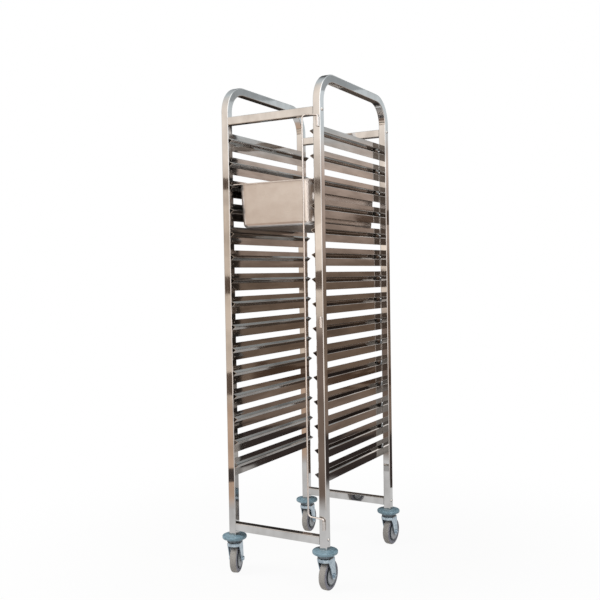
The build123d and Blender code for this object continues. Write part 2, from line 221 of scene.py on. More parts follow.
def add_piece(name, points, faces, material, body):
    """Put arrays of points and faces into a mesh object that rides on a body."""
    mesh = bpy.data.meshes.new(name)
    mesh.from_pydata(points.tolist(), [], [[i for i in face if i >= 0] for face in faces.tolist()])
    mesh.validate()
    mesh.shade_smooth()
    mesh.materials.append(material)
    made = bpy.data.objects.new(name, mesh)
    bpy.context.scene.collection.objects.link(made)
    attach(made, body)
    return made


def turned_rings(profile, centres, axis, steps):
    """Closed rings: a profile of (along, radius) points turned about an axis through each centre.

    A point is centre + along * axis + radius * (cos(angle) * u + sin(angle) * v), with u and v
    square to the axis.
    """
    axis = Vector(axis).normalized()
    u = axis.orthogonal().normalized()
    v = axis.cross(u)
    angle = np.linspace(0, 2 * pi, steps, endpoint=False)
    round_way = np.cos(angle)[:, None] * np.array(u) + np.sin(angle)[:, None] * np.array(v)
    profile = np.asarray(profile, float)
    ring = profile[:, 0, None, None] * np.array(axis) + profile[:, 1, None, None] * round_way[None]
    centres = np.asarray(centres, float)
    points = (centres[:, None, None, :] + ring[None]).reshape(-1, 3)
    faces = quad_faces(len(profile), steps, True)
    stacked = faces[None] + (np.arange(len(centres)) * len(profile) * steps)[:, None, None]
    return points, stacked.reshape(-1, 4)


def round_profile(along, radius, half_width, half_height, points):
    """An ellipse in (along, radius), wound so that a ring's faces look outwards."""
    angle = np.linspace(0, 2 * pi, points, endpoint=False)
    return np.column_stack(
        [along + half_height * np.cos(angle), radius + half_width * np.sin(angle)]
    )


def add_rings(name, size, middles, axis, steps, material, body):
    """Rings of elliptic section; size gives their radius, half width and half height."""
    profile = round_profile(0, *size, points=8)
    points, faces = turned_rings(profile, middles, axis, steps)
    add_piece(name, points, faces, material, body)


def weld_beads(starts, length, radius, ripples):
    """Upright weld beads: a tube along Z whose radius swells and ripples and runs out at both ends.

    Its radius at s, from 0 to 1 along the bead, is
    radius * sin(pi s) ** bluntness * (1 + ripple_depth * cos(2 pi ripples s)).
    """
    bluntness, ripple_depth = 0.3, 0.14
    rows, columns = 8 * ripples, 8
    s = np.linspace(0.004, 0.996, rows)
    ripple = 1 + ripple_depth * np.cos(2 * pi * ripples * s)
    swell = radius * np.sin(pi * s) ** bluntness * ripple
    angle = np.linspace(0, 2 * pi, columns, endpoint=False)
    x = swell[:, None] * np.cos(angle)[None]
    y = swell[:, None] * np.sin(angle)[None]
    z = np.broadcast_to((s * length)[:, None], x.shape)
    body = np.stack([x, y, z], axis=-1).reshape(-1, 3)
    poles = np.array([(0, 0, 0), (0, 0, length)])
    bead = np.vstack([body, poles])
    column = np.arange(columns)
    after = (column + 1) % columns
    last = (rows - 1) * columns
    spare = np.full(columns, -1)
    low_fan = np.stack([after, column, np.full(columns, rows * columns), spare], axis=1)
    top = np.full(columns, rows * columns + 1)
    high_fan = np.stack([last + column, last + after, top, spare], axis=1)
    faces = np.vstack([quad_faces(rows, columns, False), low_fan, high_fan])
    starts = np.asarray(starts, float)
    points = (starts[:, None, :] + bead[None]).reshape(-1, 3)
    step = (np.arange(len(starts)) * len(bead))[:, None, None]
    stacked = np.where(faces[None] < 0, -1, faces[None] + step)
    return points, stacked.reshape(-1, 4)


class FrameSettings(bpy.types.PropertyGroup):
    """Finishes of the frame, the runners, the pan and the rod."""

    tube_light: FloatVectorProperty(
        name="Tube, clean", description="Polished tube where it is clean", subtype="COLOR", size=4,
        min=0, max=1, default=linear("#D0CFCE"),
    )
    tube_dark: FloatVectorProperty(
        name="Tube, handled", description="Polished tube where hands have dulled it",
        subtype="COLOR", size=4, min=0, max=1, default=linear("#B6B4B2"),
    )
    strip_light: FloatVectorProperty(
        name="Strip, clean", description="Bright strip of the runners", subtype="COLOR", size=4,
        min=0, max=1, default=linear("#BCB9B6"),
    )
    strip_dark: FloatVectorProperty(
        name="Strip, rubbed", description="Runners where pans have rubbed them",
        subtype="COLOR", size=4, min=0, max=1, default=linear("#A29E9A"),
    )
    pan_light: FloatVectorProperty(
        name="Pan, bright", description="Satin pan steel, bright", subtype="COLOR", size=4,
        min=0, max=1, default=linear("#D3D0CE"),
    )
    pan_dark: FloatVectorProperty(
        name="Pan, dull", description="Satin pan steel, dull", subtype="COLOR", size=4,
        min=0, max=1, default=linear("#CAC5C2"),
    )
    rod_colour: FloatVectorProperty(
        name="Rod", description="Drawn rod and its sleeves", subtype="COLOR", size=4,
        min=0, max=1, default=linear("#D2CCC8"),
    )
    weld_colour: FloatVectorProperty(
        name="Weld", description="Weld metal after brushing", subtype="COLOR", size=4,
        min=0, max=1, default=linear("#A79E96"),
    )
    spot_diameter: FloatProperty(
        name="Spot weld", description="Diameter of the mark that a spot weld leaves",
        subtype="DISTANCE", unit="LENGTH", default=4.4 * MM,
    )
    bead_radius: FloatProperty(
        name="Weld bead", description="Radius of the beads along the rod's sleeves",
        subtype="DISTANCE", unit="LENGTH", default=1.1 * MM,
    )


class CastorSettings(bpy.types.PropertyGroup):
    """Finishes of the castors and their bumpers."""

    bumper_light: FloatVectorProperty(
        name="Bumper", description="Blue-grey moulded rubber", subtype="COLOR", size=4,
        min=0, max=1, default=linear("#86A2AF"),
    )
    bumper_dark: FloatVectorProperty(
        name="Bumper, shaded", description="Blue-grey rubber where it is darker",
        subtype="COLOR", size=4, min=0, max=1, default=linear("#6B8794"),
    )
    fork_light: FloatVectorProperty(
        name="Fork", description="Bright zinc plating", subtype="COLOR", size=4,
        min=0, max=1, default=linear("#C3D0D8"),
    )
    fork_dark: FloatVectorProperty(
        name="Fork, dull", description="Zinc plating where it has dulled", subtype="COLOR", size=4,
        min=0, max=1, default=linear("#98A8B4"),
    )
    guard_colour: FloatVectorProperty(
        name="Thread guard", description="Moulded discs beside the wheel", subtype="COLOR", size=4,
        min=0, max=1, default=linear("#A6AAAE"),
    )
    tread_colour: FloatVectorProperty(
        name="Tread", description="Tyre's dusty running face", subtype="COLOR", size=4,
        min=0, max=1, default=linear("#A29E99"),
    )
    tyre_side_colour: FloatVectorProperty(
        name="Tyre side", description="Tyre's cleaner sides", subtype="COLOR", size=4,
        min=0, max=1, default=linear("#7D7D88"),
    )
    rib_height: FloatProperty(
        name="Guard rib", description="Height of the ribs moulded on the guards",
        subtype="DISTANCE", unit="LENGTH", default=0.5 * MM,
    )


class StageSettings(bpy.types.PropertyGroup):
    """The floor, the lamps and the room that the polished steel mirrors."""

    floor_colour: FloatVectorProperty(
        name="Floor", description="Pale floor", subtype="COLOR", size=4,
        min=0, max=1, default=linear("#D8D6D4"),
    )
    room_radius: FloatProperty(
        name="Room radius", description="Distance of the mirrored room", subtype="DISTANCE",
        unit="LENGTH", default=4.0,
    )
    room_height: FloatProperty(
        name="Room height", description="Height of the mirrored room", subtype="DISTANCE",
        unit="LENGTH", default=4.2,
    )
    room_glow: FloatProperty(
        name="Room glow", description="Brightness of the mirrored room", min=0, default=3.0,
    )
    key_power: FloatProperty(
        name="Key lamp", description="Power of the large lamp", subtype="POWER", unit="POWER",
        default=120,
    )
    fill_power: FloatProperty(
        name="Fill lamp", description="Power of the small lamp", subtype="POWER", unit="POWER",
        default=40,
    )


def polished_tube(name, settings, run):
    """Stainless steel tube, ground and polished along its length.

    Polishing leaves fine lines along the tube and a slight wave in its flats, so it mirrors the
    room in long soft streaks. The real lines are a tenth of a millimetre apart and are drawn
    1.2 mm apart to show. run tells the way the tube lies, as the lines' cell size, with a second
    size for the part above the bends.
    """
    material, tree, shader, place = start_material(name, METAL, 0.1)
    lines = cloud(tree, place, run[0], 3.0, 0.6)
    if len(run) > 1:
        # Above the bends the tube lies along Y, so the lines turn with it
        lines_above = cloud(tree, place, run[1], 3.0, 0.6)
        height = add_node(tree, "ShaderNodeSeparateXYZ", {0: place}).outputs["Z"]
        low, high = BEND_HEIGHTS
        above = add_node(tree, "ShaderNodeMapRange", {0: height, 1: low, 2: high}).outputs[0]
        lines = add_node(tree, "ShaderNodeMix", {0: above, 2: lines, 3: lines_above}).outputs[0]
    hands = cloud(tree, place, (90, 90, 140), 3.0, 0.6)
    colour_between(tree, shader, hands, settings.tube_light, settings.tube_dark)
    dull = add_node(tree, "ShaderNodeMath", {0: lines, 1: hands}, operation="MULTIPLY").outputs[0]
    spread = add_node(
        tree, "ShaderNodeMapRange", {0: dull, 1: 0.12, 2: 0.42, 3: 0.015, 4: 0.08}
    )
    tree.links.new(spread.outputs[0], shader.inputs["Roughness"])
    wave = cloud(tree, place, (60, 60, 90), 1.0)
    relief(tree, shader, [(wave, 0.25)])
    return material


def bright_strip(settings):
    """Cold-rolled stainless strip, bright as the rolls leave it, then folded.

    Rolling marks run along the strip, drawn 1.4 mm apart to show, and sliding pans have rubbed it
    dull in places.
    """
    material, tree, shader, place = start_material("Bright rolled stainless strip", METAL, 0.1)
    lines = cloud(tree, place, (1.4, 160, 1.4), 3.0, 0.6)
    hands = cloud(tree, place, (60, 160, 26), 3.0, 0.6)
    colour_between(tree, shader, hands, settings.strip_light, settings.strip_dark)
    roughness_between(tree, shader, lines, 0.03, 0.1)
    wave = cloud(tree, place, (40, 200, 30), 1.0)
    relief(tree, shader, [(wave, 0.45)])
    return material


def satin_pan(settings):
    """Stainless sheet, deep drawn, then given a satin brush.

    The brush leaves a fine even grain both ways, drawn about 2.5 mm wide to show, which spreads
    reflections to a soft beige glow. Stacking has left a few brighter rubs.
    """
    material, tree, shader, place = start_material("Satin drawn stainless sheet", METAL, 0.3)
    upright = cloud(tree, place, (2.4, 2.4, 60), 2.0)
    level = cloud(tree, place, (80, 80, 2.6), 2.0)
    grain = add_node(tree, "ShaderNodeMix", {0: 0.45, 2: upright, 3: level}).outputs[0]
    blotch = cloud(tree, place, (55, 55, 40), 3.0, 0.6)
    colour_between(tree, shader, blotch, settings.pan_light, settings.pan_dark)
    roughness_between(tree, shader, grain, 0.27, 0.32)
    relief(tree, shader, [(blotch, 0.06)])
    return material


def drawn_rod(settings):
    """Cold-drawn stainless rod and tube, polished.

    Drawing marks run along it, 0.9 mm apart here so that they show, and it mirrors the bright part
    of the room as one long line.
    """
    material, tree, shader, place = start_material("Drawn stainless rod", METAL, 0.16)
    lines = cloud(tree, place, (0.9, 0.9, 50), 3.0)
    shade = add_node(
        tree, "ShaderNodeHueSaturation", {"Color": settings.rod_colour, "Value": 0.8}
    ).outputs[0]
    colour_between(tree, shader, lines, settings.rod_colour, shade, NOISE_LOW, NOISE_HIGH)
    roughness_between(tree, shader, lines, 0.12, 0.26)
    relief(tree, shader, [(lines, 0.015)])
    return material


def grained(name, metallic, roughness, cells, light, dark, smooth, rough, depth, noise=(2.0, 0.5)):
    """A material whose one grain carries its colour, its roughness and its relief.

    cells are the grain's sizes as drawn and depth is its relief, in millimetres.
    """
    material, tree, shader, place = start_material(name, metallic, roughness)
    grain = cloud(tree, place, cells, *noise)
    colour_between(tree, shader, grain, linear(light), linear(dark))
    roughness_between(tree, shader, grain, smooth, rough)
    relief(tree, shader, [(grain, depth)])
    return material


def turned_bolt():
    """Stainless socket bolt, cold headed and tumbled.

    Tumbling rounds its edges and leaves it evenly bright with small dents, drawn large to show.
    """
    return grained(
        "Tumbled stainless bolt", METAL, 0.2, (1.6, 1.6, 1.6), "#DCDAD8", "#B9B5B1",
        smooth=0.14, rough=0.3, depth=0.03,
    )


def weld_metal(settings):
    """Weld metal, brushed clean, with a trace of straw and blue from the heat.

    It is duller than the tube beside it, and its ripples catch the light.
    """
    material, tree, shader, place = start_material("Brushed weld metal", METAL, 0.34)
    heat = cloud(tree, place, (5, 5, 9), 2.0)
    colour_between(tree, shader, heat, settings.weld_colour, linear("#8F8376"))
    roughness_between(tree, shader, heat, 0.26, 0.42)
    relief(tree, shader, [(cloud(tree, place, (0.8, 0.8, 0.8)), 0.05)])
    return material


def plain_steel():
    """Plain steel plate, sawn and tapped, hidden inside the tubes; dark and grainy."""
    return grained(
        "Sawn steel plate", METAL, 0.5, (2, 2, 2), "#6E6A66", "#4C4946",
        smooth=0.4, rough=0.6, depth=0.05, noise=(3.0, 0.5),
    )


def moulded_plug():
    """Black nylon plug, injection moulded; faintly shiny with a fine grain, drawn 1.2 mm wide."""
    return grained(
        "Moulded black nylon", PLASTIC, 0.45, (1.2, 1.2, 1.2), "#1B1C1D", "#242627",
        smooth=0.38, rough=0.52, depth=0.03,
    )


def bumper_rubber(settings):
    """Thermoplastic rubber, injection moulded in two halves.

    It is soft and semi-matt, a little uneven in colour, with a parting line round its rim and
    pale scuffs there from doorways.
    """
    material, tree, shader, place = start_material("Moulded blue-grey rubber", PLASTIC, 0.45)
    low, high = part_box("front_left_bumper")
    middle = (low.z + high.z) / 2
    shade = cloud(tree, place, (16, 16, 9), 3.0, 0.6)
    tint = colour_between(tree, shader, shade, settings.bumper_light, settings.bumper_dark)
    # How far a place is from the parting line, and how near the rim's outermost part
    height = add_node(tree, "ShaderNodeSeparateXYZ", {0: place}).outputs["Z"]
    above = add_node(tree, "ShaderNodeMath", {0: height, 1: middle}, operation="SUBTRACT")
    away = add_node(tree, "ShaderNodeMath", {0: above.outputs[0]}, operation="ABSOLUTE").outputs[0]
    rim = add_node(tree, "ShaderNodeMapRange", {0: away, 1: 6.5 * MM, 2: 2.5 * MM}).outputs[0]
    rubs = cloud(tree, place, (7, 7, 1.2), 3.0, 0.7)
    rubs = add_node(tree, "ShaderNodeMapRange", {0: rubs, 1: 0.56, 2: 0.68, 3: 0.0, 4: 0.55})
    scuffs = add_node(
        tree, "ShaderNodeMath", {0: rubs.outputs[0], 1: rim}, operation="MULTIPLY"
    ).outputs[0]
    scuffed = laid_over(tree, tint, [(scuffs, linear("#B4C3CA"))])
    tree.links.new(scuffed, shader.inputs["Base Color"])
    rougher = add_node(tree, "ShaderNodeMapRange", {0: scuffs, 1: 0.0, 2: 0.5, 3: 0.4, 4: 0.62})
    tree.links.new(rougher.outputs[0], shader.inputs["Roughness"])
    parting = add_node(
        tree, "ShaderNodeMapRange", {0: away, 1: 0.0, 2: 0.6 * MM, 3: 1.0, 4: 0.0}
    ).outputs[0]
    grain = cloud(tree, place, (1.1, 1.1, 1.1), 2.0)
    relief(tree, shader, [(parting, 0.35), (grain, 0.05)])
    return material


def zinc_plate(name, light, dark, roughness):
    """Pressed steel, electroplated with zinc and passivated.

    The film gives a cool blue-white tone that clouds unevenly over the pressing.
    """
    material, tree, shader, place = start_material(name, METAL, roughness)
    film = cloud(tree, place, (9, 9, 12), 3.0, 0.65)
    colour_between(tree, shader, film, light, dark)
    roughness_between(tree, shader, film, roughness - 0.08, roughness + 0.1)
    pressing = cloud(tree, place, (14, 14, 14), 1.0)
    relief(tree, shader, [(pressing, 0.25), (cloud(tree, place, (0.9, 0.9, 0.9)), 0.02)])
    return material


def radius_from_axle(tree, place, corner):
    """Distance from one wheel's axle, and the place turned so that X lies along that axle."""
    joint = JOINTS[f"{corner}_roll"]
    across = joint["axis"]
    turned = add_node(
        tree, "ShaderNodeMapping",
        {
            "Vector": place, "Location": joint["pos_m"],
            "Rotation": (0, 0, atan2(across[1], across[0])),
        },
        vector_type="TEXTURE",
    ).outputs[0]
    square_to_axle = (0, 1, 1)
    level = add_node(
        tree, "ShaderNodeVectorMath", {0: turned, 1: square_to_axle}, operation="MULTIPLY"
    )
    radius = add_node(tree, "ShaderNodeVectorMath", {0: level.outputs[0]}, operation="LENGTH")
    return radius.outputs["Value"], turned


def rings_round_axle(tree, radius, spacing):
    """Fine rings about an axle, sin(2 pi radius / spacing)."""
    phase = add_node(tree, "ShaderNodeMath", {0: radius, 1: 2 * pi / spacing}, operation="MULTIPLY")
    return add_node(tree, "ShaderNodeMath", {0: phase.outputs[0]}, operation="SINE").outputs[0]


def tyre_rubber(settings, corner):
    """Grey non-marking thermoplastic rubber, moulded on the wheel.

    Its running face is dusty and rubbed in lines round the wheel, and its sides keep the mould's
    cleaner, cooler grey.
    """
    name = f"Moulded grey tyre rubber {corner}"
    material, tree, shader, place = start_material(name, PLASTIC, 0.6)
    radius, turned = radius_from_axle(tree, place, corner)
    tread = add_node(
        tree, "ShaderNodeMapRange",
        {0: radius, 1: WHEEL_RADIUS - 4.0 * MM, 2: WHEEL_RADIUS - 0.5 * MM},
        interpolation_type="SMOOTHSTEP",
    ).outputs[0]
    dust = cloud(tree, turned, (1.6, 22, 22), 3.0, 0.6)
    dusted = toned(tree, settings.tread_colour, dust, 0.8, 1.1)
    clouds = cloud(tree, turned, (9, 9, 9), 3.0, 0.6)
    side = toned(tree, settings.tyre_side_colour, clouds, 0.85, 1.15)
    tint = laid_over(tree, side, [(tread, dusted)])
    tree.links.new(tint, shader.inputs["Base Color"])
    roughness_between(tree, shader, dust, 0.5, 0.68)
    relief(tree, shader, [(rings_round_axle(tree, radius, 3.2 * MM), 0.04), (dust, 0.06)])
    return material


def guard_plastic(settings, corner):
    """Polypropylene disc, injection moulded.

    It has a soft sheen, faint rings from the turned mould and a dark ring of painted shade round
    its rim, where the gap beside the tyre lies in shadow.
    """
    material, tree, shader, place = start_material(f"Moulded grey guard {corner}", PLASTIC, 0.38)
    radius, turned = radius_from_axle(tree, place, corner)
    grime_and_gap_shade = cloud(tree, turned, (8, 8, 8), 3.0, 0.65)
    # Painted shade: a dark ring round the rim stands for the shadow in the gap beside the tyre; the
    # noise wobbles how far in it reaches and also tones the whole disc as grime
    reach = add_node(tree, "ShaderNodeMath", {0: grime_and_gap_shade, 1: 4 * MM}, operation="MULTIPLY").outputs[0]
    reach = add_node(tree, "ShaderNodeMath", {0: radius, 1: reach}, operation="ADD").outputs[0]
    edge = add_node(tree, "ShaderNodeMapRange", {0: reach, 1: 30.6 * MM, 2: 33.4 * MM}).outputs[0]
    tint = laid_over(tree, settings.guard_colour, [(edge, linear("#3C464B"))])
    tree.links.new(toned(tree, tint, grime_and_gap_shade, 0.88, 1.08), shader.inputs["Base Color"])
    roughness_between(tree, shader, grime_and_gap_shade, 0.32, 0.5)
    relief(tree, shader, [(rings_round_axle(tree, radius, 2.4 * MM), 0.03)])
    return material


def wheel_plastic():
    """Glass-filled nylon, injection moulded; matt mid grey with a faint swirl of flow."""
    return grained(
        "Moulded nylon wheel centre", PLASTIC, 0.5, (12, 12, 5), "#8D9196", "#74787D",
        smooth=0.42, rough=0.58, depth=0.1, noise=(4.0, 0.6),
    )


class TROLLEY_OT_tubes(bpy.types.Operator):
    """Finish the side frames, crossbars, plates, bolts and plugs"""

    bl_idname = "trolley.tubes"
    bl_label = "Finish the tubes"

    def execute(self, context):
        settings = context.scene.trolley_frame
        upright, level, across = (1.2, 1.2, 90), (1.2, 90, 1.2), (90, 1.2, 1.2)
        side = polished_tube("Polished stainless frame tube", settings, (upright, level))
        dress(SIDE_FRAMES, side)
        dress(CROSSBARS, polished_tube("Polished stainless crossbar tube", settings, (across,)))
        dress(("frame_bolts",), turned_bolt())
        dress(("crossbar_nut_plates",), plain_steel())
        dress(("castor_inserts",), moulded_plug())
        return {"FINISHED"}


class TROLLEY_OT_runners(bpy.types.Operator):
    """Finish the runners and add the marks of their spot welds"""

    bl_idname = "trolley.runners"
    bl_label = "Finish the runners"

    def execute(self, context):
        settings = context.scene.trolley_frame
        dress(RUNNERS, bright_strip(settings))
        weld = weld_metal(settings)
        # Two marks, low and high on the strip, over the middle of each post, facing the pans
        heights = (12 * MM, 51 * MM)
        end_gap = 1.5 * MM
        rim_half_width, rim_height = 0.7 * MM, 0.22 * MM
        profile = round_profile(
            0, settings.spot_diameter / 2, rim_half_width, rim_height, points=5
        )
        for name in RUNNERS:
            low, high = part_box(name)
            front = low.y + TUBE_SIDE / 2 - end_gap
            back = high.y - TUBE_SIDE / 2 + end_gap
            face = high.x - STRIP_SHEET
            centres = [
                (side * face, y, low.z + height)
                for side in (-1, 1) for y in (front, back) for height in heights
            ]
            points, faces = turned_rings(profile, centres, (1, 0, 0), steps=12)
            add_piece(f"{name}_spot_welds", points, faces, weld, "frame")
        return {"FINISHED"}


class TROLLEY_OT_rod(bpy.types.Operator):
    """Finish the rod and its sleeves and add the beads that weld the sleeves on"""

    bl_idname = "trolley.rod"
    bl_label = "Finish the rod"

    def execute(self, context):
        settings = context.scene.trolley_frame
        dress(("retaining_rod", "rod_sleeves", "middle_sleeve_pin"), drawn_rod(settings))
        low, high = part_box("rod_sleeves")
        pin_low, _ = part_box("middle_sleeve_pin")
        # One bead on each side of each sleeve, where it meets the post, short of the sleeve's ends
        beside, sunk, tail = 3.3 * MM, 0.4 * MM, 2 * MM
        x = high.x - SLEEVE_RADIUS
        y = high.y - sunk
        lows = (low.z, pin_low.z + PLUG_PIN_DEPTH - SLEEVE_LENGTH, high.z - SLEEVE_LENGTH)
        starts = [(x + side * beside, y, z + tail) for z in lows for side in (-1, 1)]
        length = SLEEVE_LENGTH - 2 * tail
        points, faces = weld_beads(starts, length, settings.bead_radius, ripples=9)
        weld = weld_metal(settings)
        add_piece("sleeve_weld_beads", points, faces, weld, "frame")
        return {"FINISHED"}


class TROLLEY_OT_pan(bpy.types.Operator):
    """Finish the pan"""

    bl_idname = "trolley.pan"
    bl_label = "Finish the pan"

    def execute(self, context):
        dress(("gastronorm_pan",), satin_pan(context.scene.trolley_frame))
        return {"FINISHED"}


class TROLLEY_OT_castors(bpy.types.Operator):
    """Finish the castors and add their seals, guard ribs and nut rings"""

    bl_idname = "trolley.castors"
    bl_label = "Finish the castors"

    def execute(self, context):
        settings = context.scene.trolley_castors
        bumper = bumper_rubber(settings)
        fork = zinc_plate(
            "Zinc plated pressed fork", settings.fork_light, settings.fork_dark, roughness=0.3
        )
        # The swivel race takes the fork's zinc in darker colours: partly grease, partly painted
        # shade for the shadow under the bumper
        head = zinc_plate(
            "Greased zinc swivel race with painted shade", linear("#7A838A"), linear("#4E565C"), roughness=0.38
        )
        wheel = wheel_plastic()
        seal = moulded_plug()
        for corner in CORNERS:
            dress((f"{corner}_bumper",), bumper)
            dress((f"{corner}_fork", f"{corner}_axle_bolt", f"{corner}_axle_nut"), fork)
            dress((f"{corner}_swivel_head",), head)
            dress((f"{corner}_wheel",), wheel)
            dress((f"{corner}_tyre",), tyre_rubber(settings, corner))
            guard = guard_plastic(settings, corner)
            dress((f"{corner}_thread_guards",), guard)
            self.add_seal(corner, seal)
            self.add_ribs(corner, guard, settings.rib_height)
            self.add_nut_ring(corner, seal)
        return {"FINISHED"}

    def add_seal(self, corner, material):
        """Dust seal, a soft ring round the lower edge of the swivel race."""
        centre = Vector(JOINTS[f"{corner}_swivel"]["pos_m"])
        _, fork_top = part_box(f"{corner}_fork")
        seat_height, clearance = 3.4 * MM, 0.15 * MM
        radius, half_width, half_height = RACE_RADIUS + 0.3 * MM, 0.9 * MM, 1.0 * MM
        crown = fork_top.z - seat_height
        middle = (centre.x, centre.y, crown + half_height + clearance)
        add_rings(
            f"{corner}_dust_seal", (radius, half_width, half_height), [middle], (0, 0, 1), 64,
            material, "frame",
        )

    def add_ribs(self, corner, material, height):
        """Two ribs moulded on the outside of each thread guard."""
        centre, axis = axle(corner)
        sides = [tuple(centre + axis * side * GUARD_FACE) for side in (-1, 1)]
        half_width = 0.8 * MM
        for name, radius in (("outer", 29.5 * MM), ("inner", 15 * MM)):
            add_rings(
                f"{corner}_guard_{name}_ribs", (radius, half_width, height), sides, axis, 64,
                material, f"{corner}_castor",
            )

    def add_nut_ring(self, corner, material):
        """Nylon ring in the lock nut's collar."""
        centre, axis = axle(corner)
        radius, half_width, half_height = 4.75 * MM, 0.6 * MM, 0.35 * MM
        middle = tuple(centre + axis * NUT_END)
        add_rings(
            f"{corner}_nut_ring", (radius, half_width, half_height), [middle], axis, 32,
            material, f"{corner}_castor",
        )


class TROLLEY_OT_stage(bpy.types.Operator):
    """Set the floor, the studio light and the camera"""

    bl_idname = "trolley.stage"
    bl_label = "Set the stage"

    def execute(self, context):
        settings = context.scene.trolley_stage
        build_floor(settings)
        build_room(settings)
        build_world()
        middle = (0, 0, 0.8)
        add_lamp("key_lamp", (-2.2, -2.6, 3.6), middle, size=2.0, power=settings.key_power)
        add_lamp("fill_lamp", (3.2, -1.0, 2.6), middle, size=1.6, power=settings.fill_power)
        build_camera()
        context.scene.view_settings.view_transform = "Standard"
        return {"FINISHED"}


def stage_object(name, points, faces, material):
    """A stage mesh at the origin, which is no part of the trolley."""
    mesh = bpy.data.meshes.new(name)
    mesh.from_pydata(points.tolist(), [], faces.tolist())
    mesh.shade_smooth()
    mesh.materials.append(material)
    made = bpy.data.objects.new(name, mesh)
    bpy.context.scene.collection.objects.link(made)
    return made


def seen_directly(tree):
    """1 for camera, glossy and transmission rays, which see the plain white background."""
    sight = add_node(tree, "ShaderNodeLightPath")
    seen = sight.outputs["Is Camera Ray"]
    for other in ("Is Glossy Ray", "Is Transmission Ray"):
        seen = add_node(
            tree, "ShaderNodeMath", {0: seen, 1: sight.outputs[other]}, operation="MAXIMUM"
        ).outputs[0]
    return seen


def build_floor(settings):
    """A large pale floor that runs out to white and keeps a soft shadow near the castors."""
    half = 14.0
    corners = ((-1, -1), (1, -1), (1, 1), (-1, 1))
    points = np.array([(x * half, y * half, 0) for x, y in corners])
    # The shadow's part of the floor ends between these distances from the middle
    near, far, near_white = 0.3, 1.7, 0.94
    material, tree, output, place = empty_material("Pale painted floor")
    away = add_node(tree, "ShaderNodeVectorMath", {0: place}, operation="LENGTH").outputs["Value"]
    share = add_node(
        tree, "ShaderNodeMapRange", {0: away, 1: near, 2: far, 3: near_white, 4: 1.0},
        interpolation_type="SMOOTHSTEP",
    ).outputs[0]
    white_share = add_node(
        tree, "ShaderNodeMath", {0: seen_directly(tree), 1: share}, operation="MULTIPLY"
    ).outputs[0]
    diffuse = add_node(tree, "ShaderNodeBsdfDiffuse", {"Color": settings.floor_colour}).outputs[0]
    # The steel mirrors the floor a little duller than the camera sees it
    mirrored_white = 0.84
    mirrored = add_node(tree, "ShaderNodeLightPath").outputs["Is Glossy Ray"]
    strength = add_node(
        tree, "ShaderNodeMapRange", {0: mirrored, 3: 1.0, 4: mirrored_white}
    ).outputs[0]
    white = add_node(
        tree, "ShaderNodeEmission", {"Color": (1, 1, 1, 1), "Strength": strength}
    ).outputs[0]
    mix = add_node(tree, "ShaderNodeMixShader", {0: white_share, 1: diffuse, 2: white})
    tree.links.new(mix.outputs[0], output.inputs["Surface"])
    stage_object("floor", points, np.array([(0, 1, 2, 3)]), material)


def build_room(settings):
    """The room that the polished steel mirrors: a round wall, its ceiling and its floor.

    A profile from the floor up the wall and over the ceiling is turned about Z, with a quarter
    circle at the wall's foot and head. Only reflections see it.
    """
    steps, bend_points, curve = 120, 8, 0.5
    floor_start, floor_lift, ceiling_end = 1.15, 3 * MM, 0.02
    wall, top = settings.room_radius, settings.room_height
    turn = np.linspace(0, pi / 2, bend_points)
    foot = np.column_stack([wall - curve + curve * np.sin(turn), curve - curve * np.cos(turn)])
    head = np.column_stack(
        [wall - curve + curve * np.cos(turn), top - curve + curve * np.sin(turn)]
    )
    profile = np.vstack([[(floor_start, 0.0)], foot, head, [(ceiling_end, top)]])
    profile[:bend_points + 1, 1] += floor_lift
    angle = np.linspace(0, 2 * pi, steps, endpoint=False)
    x = profile[:, 0, None] * np.cos(angle)
    y = profile[:, 0, None] * np.sin(angle)
    z = np.broadcast_to(profile[:, 1, None], x.shape)
    points = np.stack([x, y, z], axis=-1).reshape(-1, 3)
    faces = quad_faces(len(profile), steps, False)[:, ::-1]
    room = stage_object("mirrored_room", points, faces, room_glow(settings))
    for ray in ("camera", "diffuse", "shadow", "transmission"):
        setattr(room, f"visible_{ray}", False)


# What the mirrored room looks like. A share of the turn runs from the trolley's left (0) by its
# front (0.25), right (0.5) and back (0.75) to the left again. A stop is a share, a colour and,
# where it isn't DIM, its brightness.
DIM = 0.5
ROOM_FLOOR = (
    (0.00, "#B4AFAB"), (0.15, "#C0A590"), (0.165, "#C0A590"), (0.175, "#74655B"),
    (0.225, "#74655B"), (0.24, "#E6E2DF", 0.6), (0.30, "#E6E2DF", 0.8), (0.315, "#A9A5A1"),
    (0.37, "#A9A5A1"), (0.385, "#E6E2DF", 0.7), (0.50, "#B5ADA6"), (0.60, "#6A584B"),
    (0.675, "#4A3B31"), (0.735, "#54483F"), (0.78, "#332F2C"), (0.86, "#332F2C"),
    (0.89, "#8A8683"), (1.00, "#B4AFAB"),
)
ROOM_WALL = (
    (0.00, "#7A6A5E"), (0.10, "#BFA793"), (0.16, "#E2D2C2"), (0.22, "#F0E4D8", 0.6),
    (0.285, "#FFF6EF", 1.0), (0.30, "#FFF6EF", 1.0), (0.31, "#6E6056"), (0.37, "#6E6056"),
    (0.385, "#FFF8F4", 1.0), (0.42, "#FFF8F4", 1.0), (0.50, "#D8D2CC"), (0.60, "#8C8075"),
    (0.675, "#7C6A5C"), (0.74, "#55473D"), (0.832, "#4E4843"), (0.84, "#2B2623"),
    (0.85, "#2B2623"), (0.88, "#75665B"), (0.94, "#86776B"), (1.00, "#7A6A5E"),
)
ROOM_UPPER = (
    (0.00, "#C4CDD1"), (0.16, "#EEE3D8"), (0.21, "#F0E6DC"), (0.29, "#FFFFFF", 1.0),
    (0.305, "#FFFFFF", 1.0), (0.315, "#A99F97"), (0.37, "#A99F97"), (0.385, "#FFFFFF", 1.0),
    (0.50, "#DDE3E6", 0.7), (0.62, "#C8CFD3", 0.55), (0.70, "#BEC5C8"), (0.76, "#5C5D5E"),
    (0.84, "#3B3B3C"), (0.88, "#9AA0A3"), (0.92, "#B4BABD"), (1.00, "#C4CDD1"),
)
